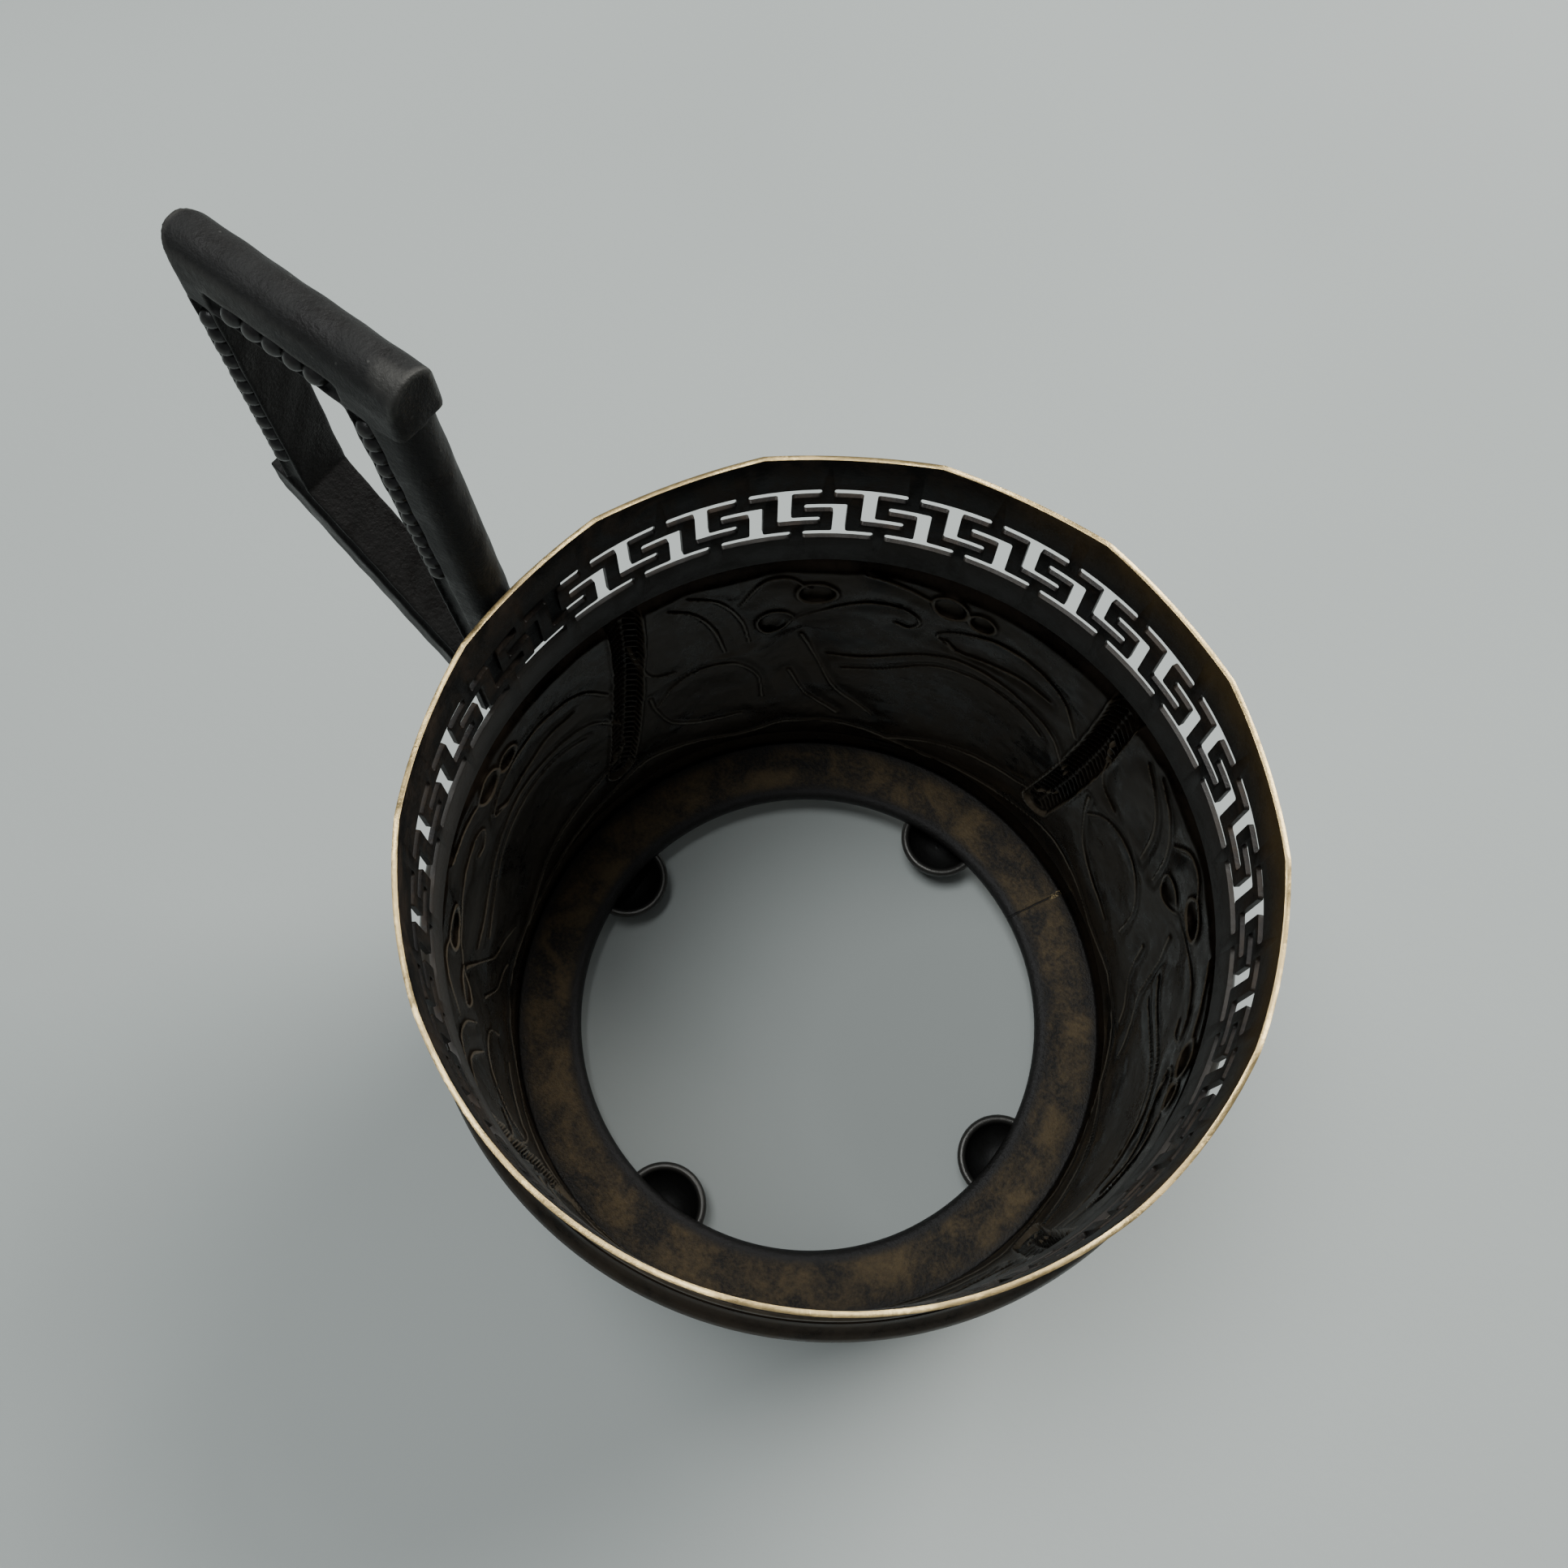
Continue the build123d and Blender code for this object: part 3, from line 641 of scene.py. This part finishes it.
def relief_of_one_motif(sizes, heights):
    """Height of the bulges and strength of the chased lines on one motif's grid, in metres."""
    span = 360.0 / sizes.motifs
    steps_round = sizes.steps_round
    arc_scale = math.radians(1.0) * WALL_R
    degrees = np.arange(steps_round) * span / steps_round
    grid = np.stack(np.meshgrid(degrees * arc_scale, heights, indexing="ij"), axis=-1).reshape(-1, 2)

    def placed(points, shift):
        spread = np.asarray(points, float)
        return np.stack([(spread[:, 0] + shift) * arc_scale, spread[:, 1] * MM], axis=-1)

    lines = np.zeros(len(grid))
    bulge = np.zeros(len(grid))
    rope = np.zeros(len(grid))
    for shift in (-span, 0.0, span):
        for number, scroll in enumerate(SCROLLS.values()):
            curve = flowing(placed(scroll, shift))
            distance, along, _ = nearest(grid, curve)
            taper = 0.75 + 0.25 * np.sin(along / (2.2 * MM) + number)
            lines = np.maximum(lines, np.exp(-((distance / (sizes.line_width * taper)) ** 2)))
            bulge = np.maximum(bulge, 0.22 * MM * np.exp(-((distance / (1.3 * MM)) ** 2)))
        for middle, height, wide, high in SMALL_LEAVES:
            across = (grid[:, 0] - (middle + shift) * arc_scale) / (wide * arc_scale)
            up = (grid[:, 1] - height * MM) / (high * MM)
            radius = np.hypot(across, up)
            lines = np.maximum(lines, np.exp(-(((radius - 1.0) * high * MM / sizes.line_width) ** 2)))
            bulge = np.maximum(bulge, 0.5 * MM * np.clip(1.0 - radius**2, 0.0, 1.0))
        for middle, height, wide, high, level in BULGES:
            across = (grid[:, 0] - (middle + shift) * arc_scale) / (wide * arc_scale)
            up = (grid[:, 1] - height * MM) / (high * MM)
            bulge += level * MM * np.exp(-((across**2 + up**2) ** 1.4))
        distance, along, side = nearest(grid, flowing(placed(ROPE, shift)))
        inside = smoothstep(ROPE_HALF_WIDTH - distance, 0.0, 0.3 * MM)
        strand = 0.5 + 0.5 * np.sin((along + 0.9 * np.abs(side)) * 2 * math.pi / (1.15 * MM))
        rope = np.maximum(rope, inside * strand * smoothstep(distance, 0.0, 0.35 * MM))
        border = np.exp(-(((distance - ROPE_HALF_WIDTH) / (0.8 * sizes.line_width)) ** 2))
        lines = np.maximum(lines, border * 0.8)
        bulge = np.maximum(bulge * (1 - inside), 0.45 * MM * inside)
    shape = (steps_round, len(heights))
    return lines.reshape(shape), bulge.reshape(shape), rope.reshape(shape)


class HOLDER_OT_wall(bpy.types.Operator):
    """Embossed wall: a thin sheet with scrolls, a rope band and small leaves"""

    bl_idname = "holder.wall"
    bl_label = "Embossed wall"

    def execute(self, context):
        sizes = context.scene.holder_wall
        rounds = sizes.steps_round * sizes.motifs
        heights = np.linspace(WALL_LOW.z, WALL_HIGH.z, 2 * sizes.steps_high + 1)
        lines, bulge, rope = relief_of_one_motif(sizes, heights)
        first_motif = int(round(MOTIF_START / 360.0 * rounds))
        lines, bulge, rope = (
            np.roll(np.tile(motif, (sizes.motifs, 1)), first_motif, axis=0) for motif in (lines, bulge, rope)
        )
        shape = (rounds, len(heights))
        wave = 0.6 * soft_noise(shape, (70, 16), 3) + 0.4 * soft_noise(shape, (190, 44), 5)
        uneven = 1.0 + 0.35 * soft_noise(shape, (23, 5), 8)

        top = LEDGE_Z - sizes.cove
        bottom = WALL_LOW.z + sizes.foot_cove
        seat = RING_R + sizes.sheet
        collar = GALLERY_R + sizes.sheet
        swell = smoothstep(heights, RING_HIGH.z, bottom)
        fade = smoothstep(heights, bottom - 0.5 * MM, bottom + 2.5 * MM) * smoothstep(-heights, -top, -top + 2.0 * MM)
        base = seat + (WALL_R - seat) * swell
        base = np.where(heights > top, WALL_R + (collar - WALL_R) * smoothstep(heights, top, LEDGE_Z), base)
        raised = np.clip(bulge * uneven + 0.30 * MM * rope, 0.0, sizes.relief)
        sunk = sizes.relief - raised + sizes.ground_wave * (0.5 + 0.5 * wave)
        outside = base - fade * np.clip(sunk + 0.8 * sizes.line_height * lines, 0.0, sizes.relief + sizes.line_height)
        inside = base - sizes.sheet - fade * (sunk + sizes.line_height * lines - 0.25 * MM * rope)
        inside = np.maximum(inside, RING_R - 0.6 * MM)
        inside = np.minimum(inside, outside - 0.6 * sizes.sheet)

        # the outside, up, then the inside, down; the outside has every second height
        turn = (np.arange(rounds) * 2.0 * math.pi / rounds)[:, None]
        radius = np.concatenate([outside[:, ::2], inside[:, ::-1]], axis=1)
        level = np.broadcast_to(np.concatenate([heights[::2], heights[::-1]]), radius.shape)
        points = np.stack([radius * np.cos(turn), radius * np.sin(turn), level], axis=-1).reshape(-1, 3)
        wall = mesh_from_arrays("embossed_wall", points, ring_quads(*radius.shape)[:, ::-1])
        crest = smoothstep(raised, 0.55 * sizes.relief, sizes.relief)
        rubbed_outside = fade * (0.35 * crest + 0.42 * rope)
        rubbed_inside = fade * (0.62 * lines + 0.42 * rope)
        number_layer(wall, "rubbed", np.concatenate([rubbed_outside[:, ::2], rubbed_inside[:, ::-1]], axis=1))
        paint(wall, wall_metal(context.scene.holder_finishes))
        settle(wall, "wall_metal", "body_wall")
        return {"FINISHED"}


class HOLDER_OT_gallery(bpy.types.Operator):
    """Pierced gallery with softened cut edges, and the wire under it"""

    bl_idname = "holder.gallery"
    bl_label = "Gallery and seam wire"

    def execute(self, context):
        sizes = context.scene.holder_metal
        finish = context.scene.holder_finishes
        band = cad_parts["gallery_band"]
        weld = band.modifiers.new("Weld", "WELD")
        weld.merge_threshold = 0.002 * MM
        bevel = band.modifiers.new("Cut edges", "BEVEL")
        bevel.width = sizes.edge_round
        bevel.segments = 2
        bevel.limit_method = "ANGLE"
        bevel.angle_limit = math.radians(38)
        bevel.harden_normals = True
        paint(band, gallery_metal(finish))
        wire_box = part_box("seam_wire")
        middle = (wire_box[0].z + wire_box[1].z) / 2
        outline = arc((GALLERY_R, middle), wire_box[1].z - middle, -90, 90, 13)
        wire = turned("seam_wire_round", outline, 360)
        number_layer(wire, "rubbed", np.full(len(wire.data.vertices), 0.42))
        paint(wire, wall_metal(finish))
        settle(wire, "wall_metal", "seam_wire")
        return {"FINISHED"}


class HOLDER_OT_base_ring(bpy.types.Operator):
    """Flat ring that the glass stands on, with a rounded and slightly uneven edge"""

    bl_idname = "holder.base_ring"
    bl_label = "Base ring"

    def execute(self, context):
        sizes = context.scene.holder_metal
        hole = min(v.co.xy.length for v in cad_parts["base_ring"].data.vertices)
        top, low, edge = RING_HIGH.z, RING_LOW.z, sizes.hole_round
        outline = (
            arc((hole + edge, top - edge), edge, 180, 90, 9)
            + line((hole + edge, top), (RING_R, top), 26)
            + [(RING_R, top), (RING_R, low)]
            + line((RING_R, low), (hole, low), 12)
            + [(hole, low)]
        )
        ring = turned("base_ring_plate", outline, RING_STEPS)
        spots = np.array([v.co for v in ring.data.vertices]).reshape(RING_STEPS, len(outline), 3)
        wave = soft_noise(spots.shape[:2], (36, 5), 11) * 0.5 + 0.5
        free = smoothstep(spots[..., 2], low + 0.2 * MM, top)
        spots[..., 2] -= sizes.ring_wave * wave * free
        ring.data.vertices.foreach_set("co", spots.astype(np.float32).ravel())
        ring.data.update()
        paint(ring, ring_metal(context.scene.holder_finishes))
        settle(ring, "ring_metal", "base_ring")
        return {"FINISHED"}


class HOLDER_OT_feet(bpy.types.Operator):
    """Four hollow half-balls with a rolled rim and a worn flat"""

    bl_idname = "holder.feet"
    bl_label = "Ball feet"

    def execute(self, context):
        sizes = context.scene.holder_metal
        material = foot_metal(context.scene.holder_finishes)
        for number, node in enumerate(FEET, 1):
            low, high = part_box(node)
            centre = ((low.x + high.x) / 2, (low.y + high.y) / 2)
            radius = (high.x - low.x) / 2
            lip = sizes.foot_wall / 2
            flat = math.degrees(math.asin((high.z - low.z) / radius))
            middle = (radius - lip, high.z - lip)
            outside = arc((0.0, high.z), radius, -8, -flat, 24)
            rim = arc(middle, lip, 0, 180, 11)
            inside = arc((0.0, high.z), radius - sizes.foot_wall, -8, -89.0, 26)
            closing = [(0.02 * MM, low.z + sizes.foot_wall * 0.8), (0.02 * MM, low.z)]
            outline = rim + inside + closing + outside[::-1]
            foot = turned(f"foot_{number}", outline, 72, centre)
            paint(foot, material)
            settle(foot, "foot_metal", node)
        return {"FINISHED"}


def vectors(mesh, what):
    """The vertices' places or normals as an array of rows."""
    rows = np.empty(len(mesh.vertices) * 3)
    mesh.vertices.foreach_get(what, rows)
    return rows.reshape(-1, 3)


def neighbour_mean(mesh, values, rounds):
    """Values evened out over the mesh's edges."""
    edges = np.empty(len(mesh.edges) * 2, np.int64)
    mesh.edges.foreach_get("vertices", edges)
    first, second = edges.reshape(-1, 2).T
    count = np.bincount(edges, minlength=len(values)).astype(float)
    for _ in range(rounds):
        total = np.bincount(first, values[second], len(values)) + np.bincount(second, values[first], len(values))
        values = total / np.maximum(count, 1.0)
    return values


def convexity(mesh):
    """How far each vertex stands out from its neighbours along its normal, evened out."""
    spots, normals = vectors(mesh, "co"), vectors(mesh, "normal")
    means = np.stack([neighbour_mean(mesh, spots[:, axis].copy(), 6) for axis in range(3)], axis=-1)
    return np.einsum("ij,ij->i", spots - means, normals)


class HOLDER_OT_handle(bpy.types.Operator):
    """Cast handle: the four bars as one soft-edged casting, and its two pads"""

    bl_idname = "holder.handle"
    bl_label = "Handle"

    def execute(self, context):
        sizes = context.scene.holder_handle
        material = handle_metal(context.scene.holder_finishes)
        shell = bmesh.new()
        for node in HANDLE_BARS:
            shell.from_mesh(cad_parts[node].data)
        bmesh.ops.remove_doubles(shell, verts=shell.verts, dist=0.002 * MM)
        rough = bpy.data.meshes.new("bars")
        shell.to_mesh(rough)
        shell.free()
        bars = bpy.data.objects.new("bars", rough)
        context.scene.collection.objects.link(bars)
        remesh = bars.modifiers.new("Casting", "REMESH")
        remesh.mode = "VOXEL"
        remesh.voxel_size = sizes.grain
        soften = bars.modifiers.new("Soft edges", "SMOOTH")
        soften.factor = 0.5
        soften.iterations = sizes.softness
        context.view_layer.update()
        cast = bpy.data.meshes.new_from_object(bars.evaluated_get(context.evaluated_depsgraph_get()))
        bpy.data.objects.remove(bars)
        if len(cast.vertices) < 10000:
            raise RuntimeError("the handle's bars did not close into one casting")
        cast.shade_smooth()
        handle = bpy.data.objects.new("handle_casting", cast)
        context.scene.collection.objects.link(handle)
        standing = convexity(cast)
        spots, normals = vectors(cast, "co"), vectors(cast, "normal")
        dent = 0.5 + 0.25 * (
            np.sin(spots @ np.array([1900.0, 700.0, 1100.0])) + np.sin(spots @ np.array([-800.0, 2300.0, 1500.0]))
        )
        spots -= normals * (sizes.dents * dent)[:, None]
        cast.vertices.foreach_set("co", spots.astype(np.float32).ravel())
        cast.update()
        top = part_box("handle_top_bar")[1].z
        upper = smoothstep(spots[:, 2], top - 9 * MM, top - 1 * MM)
        rubbed = smoothstep(standing, 0.004 * MM, 0.05 * MM) * (0.35 + 0.45 * upper)
        # a painted highlight along the near bevel of the top bar; the thumb rubs its inner corner most of all
        low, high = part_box("handle_top_bar")
        bevel = smoothstep(spots[:, 1], 1.1 * MM, 1.7 * MM) * smoothstep(spots[:, 2], top - 2.9 * MM, top - 2.0 * MM)
        bevel *= smoothstep(spots[:, 0], low.x, high.x - 6 * MM)
        corner = Vector((low.x + 1.3 * MM, 0.9 * MM, top))
        from_corner = np.linalg.norm((spots - np.array(corner)) / (1.3 * MM), axis=1)
        rubbed = np.clip(rubbed + 0.48 * bevel + 0.9 * np.exp(-(from_corner**2)), 0.0, 1.0)
        # the rubbed layer holds edge wear and the painted highlight of the near bevel
        number_layer(handle, "rubbed", neighbour_mean(cast, rubbed, 2))
        # the faces towards the window are blended towards the black patina
        inner_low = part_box("handle_inner_leg")[0]
        outer_low, outer_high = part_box("handle_outer_leg")
        window = np.array([(outer_high.x + inner_low.x) / 2, 0.0, (outer_high.z + outer_low.z) / 2])
        inwards = (window - spots) * np.array([1.0, 0.0, 1.0])
        inwards /= np.linalg.norm(inwards, axis=1)[:, None]
        facing = np.einsum("ij,ij->i", inwards, normals)
        number_layer(handle, "window_facing", smoothstep(facing, 0.35, 0.75))
        paint(handle, material)
        settle(handle, "handle_metal", *HANDLE_BARS)
        for node in ("handle_upper_saddle", "handle_lower_saddle"):
            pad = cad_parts[node]
            paint(pad, material)
            rounding = pad.modifiers.new("Soft edges", "BEVEL")
            rounding.width = 0.18 * MM
            rounding.segments = 3
            rounding.limit_method = "ANGLE"
        return {"FINISHED"}


class HOLDER_OT_beads(bpy.types.Operator):
    """Rows of beaded wire let into the sides of the handle"""

    bl_idname = "holder.beads"
    bl_label = "Beaded wire"

    def execute(self, context):
        sizes = context.scene.holder_handle
        material = bead_metal(context.scene.holder_finishes)
        for node in BEAD_ROWS:
            low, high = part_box(node)
            side = 1.0 if low.y > 0 else -1.0
            floor_y = low.y if side > 0 else high.y
            radius = high.y - low.y
            if node.startswith("top"):
                pitch = sizes.top_bead_pitch
                middle_z = (low.z + high.z) / 2
                start, end = Vector((low.x, 0, middle_z)), Vector((high.x, 0, middle_z))
            else:
                pitch = sizes.bead_pitch
                start, end = Vector((low.x + radius, 0, low.z)), Vector((high.x - radius, 0, high.z))
            way = (end - start).normalized()
            across = Vector((-way.z, 0, way.x))
            long = (end - start).length
            count = int(long / pitch)
            first = (long - (count - 1) * pitch) / 2
            wire = bmesh.new()
            for bead in range(count):
                spot = start + way * (first + bead * pitch)
                turn = Matrix((across, (0, 1, 0), way)).transposed().to_4x4()
                place = Matrix.Translation((spot.x, floor_y, spot.z)) @ turn
                shape = Matrix.Diagonal((radius * 0.98, radius * 0.98, pitch * 0.52, 1.0))
                bmesh.ops.create_uvsphere(wire, u_segments=28, v_segments=18, radius=1.0, matrix=place @ shape)
            mesh = bpy.data.meshes.new(node)
            wire.to_mesh(mesh)
            wire.free()
            mesh.shade_smooth()
            row = bpy.data.objects.new(node.replace("_beads_", "_beaded_wire_"), mesh)
            context.scene.collection.objects.link(row)
            spots = np.array([v.co for v in mesh.vertices])
            out = (spots[:, 1] - floor_y) * side / radius
            number_layer(row, "rubbed", 0.75 * smoothstep(out, 0.45, 1.0))
            paint(row, material)
            settle(row, "bead_metal", node)
        return {"FINISHED"}


class HOLDER_OT_stage(bpy.types.Operator):
    """Plain pale floor, soft light and the camera"""

    bl_idname = "holder.stage"
    bl_label = "Stage"

    def execute(self, context):
        scene = context.scene
        ground = bpy.data.meshes.new("floor")
        corners = [(-1, -1), (1, -1), (1, 1), (-1, 1)]
        ground.from_pydata([(x * FLOOR_HALF, y * FLOOR_HALF, 0) for x, y in corners], [], [(0, 1, 2, 3)])
        floor = bpy.data.objects.new("floor", ground)
        floor.location.z = FLOOR_Z
        scene.collection.objects.link(floor)
        paint(floor, floor_paper(scene.holder_finishes))

        world = bpy.data.worlds.new("Room")
        world.use_nodes = True
        background = world.node_tree.nodes["Background"]
        background.inputs["Color"].default_value = ROOM_TINT
        background.inputs["Strength"].default_value = ROOM_STRENGTH
        scene.world = world
        for name, spot, size, power, tint in LAMPS:
            lamp = bpy.data.lights.new(name, "AREA")
            lamp.shape = "DISK"
            lamp.size = size
            lamp.energy = power
            lamp.color = tint
            lit = bpy.data.objects.new(name, lamp)
            lit.location = spot
            lit.rotation_euler = (Vector((0, 0, RIM_Z / 2)) - Vector(spot)).to_track_quat("-Z", "Y").to_euler()
            scene.collection.objects.link(lit)

        # the camera looks down past the rim; its place is taken from the middle of the rim's circle
        rim = Vector((0, 0, RIM_Z))
        azimuth, elevation = math.radians(EYE_AZIMUTH), math.radians(EYE_ELEVATION)
        across, rise = EYE_DISTANCE * math.cos(elevation), EYE_DISTANCE * math.sin(elevation)
        eye = rim + Vector((across * math.cos(azimuth), across * math.sin(azimuth), rise))
        heading, pitch, roll = math.radians(HEADING), math.radians(PITCH), math.radians(ROLL)
        level = Vector((math.cos(heading), math.sin(heading), 0))
        forward = level * math.cos(pitch) + Vector((0, 0, math.sin(pitch)))
        right = forward.cross(Vector((0, 0, 1))).normalized()
        up = right.cross(forward)
        turned_right = right * math.cos(roll) + up * math.sin(roll)
        turned_up = turned_right.cross(forward)
        camera = bpy.data.cameras.new("Camera")
        camera.lens = LENS
        camera.clip_start = 0.005
        camera.clip_end = 10.0
        seen = bpy.data.objects.new("Camera", camera)
        pose = Matrix((turned_right, turned_up, -forward)).transposed().to_4x4()
        pose.translation = eye
        seen.matrix_world = pose
        scene.collection.objects.link(seen)
        scene.camera = seen
        return {"FINISHED"}


class HOLDER_PT_panel(bpy.types.Panel):
    """Lists the pieces of the tea-glass holder"""

    bl_idname = "HOLDER_PT_panel"
    bl_label = "Tea-glass holder"
    bl_space_type = "VIEW_3D"
    bl_region_type = "UI"
    bl_category = "Holder"

    def draw(self, context):
        for operator in OPERATORS:
            self.layout.operator(operator.bl_idname)
        for group in (context.scene.holder_wall, context.scene.holder_handle, context.scene.holder_metal):
            box = self.layout.box()
            for name in group.__annotations__:
                box.prop(group, name)
        box = self.layout.box()
        for name in context.scene.holder_finishes.__annotations__:
            box.prop(context.scene.holder_finishes, name)


OPERATORS = (
    HOLDER_OT_wall,
    HOLDER_OT_gallery,
    HOLDER_OT_base_ring,
    HOLDER_OT_feet,
    HOLDER_OT_handle,
    HOLDER_OT_beads,
    HOLDER_OT_stage,
)
GROUPS = {
    "holder_wall": HolderWallSizes,
    "holder_handle": HolderHandleSizes,
    "holder_metal": HolderMetalSizes,
    "holder_finishes": HolderFinishes,
}
CLASSES = (*GROUPS.values(), *OPERATORS, HOLDER_PT_panel)


def register():
    for kind in CLASSES:
        bpy.utils.register_class(kind)
    for name, kind in GROUPS.items():
        setattr(bpy.types.Scene, name, bpy.props.PointerProperty(type=kind))


def unregister():
    for name in GROUPS:
        delattr(bpy.types.Scene, name)
    for kind in reversed(CLASSES):
        bpy.utils.unregister_class(kind)


def main():
    register()
    bpy.ops.holder.wall()
    bpy.ops.holder.gallery()
    bpy.ops.holder.base_ring()
    bpy.ops.holder.feet()
    bpy.ops.holder.handle()
    bpy.ops.holder.beads()
    bpy.ops.holder.stage()


if __name__ == "__main__":
    main()
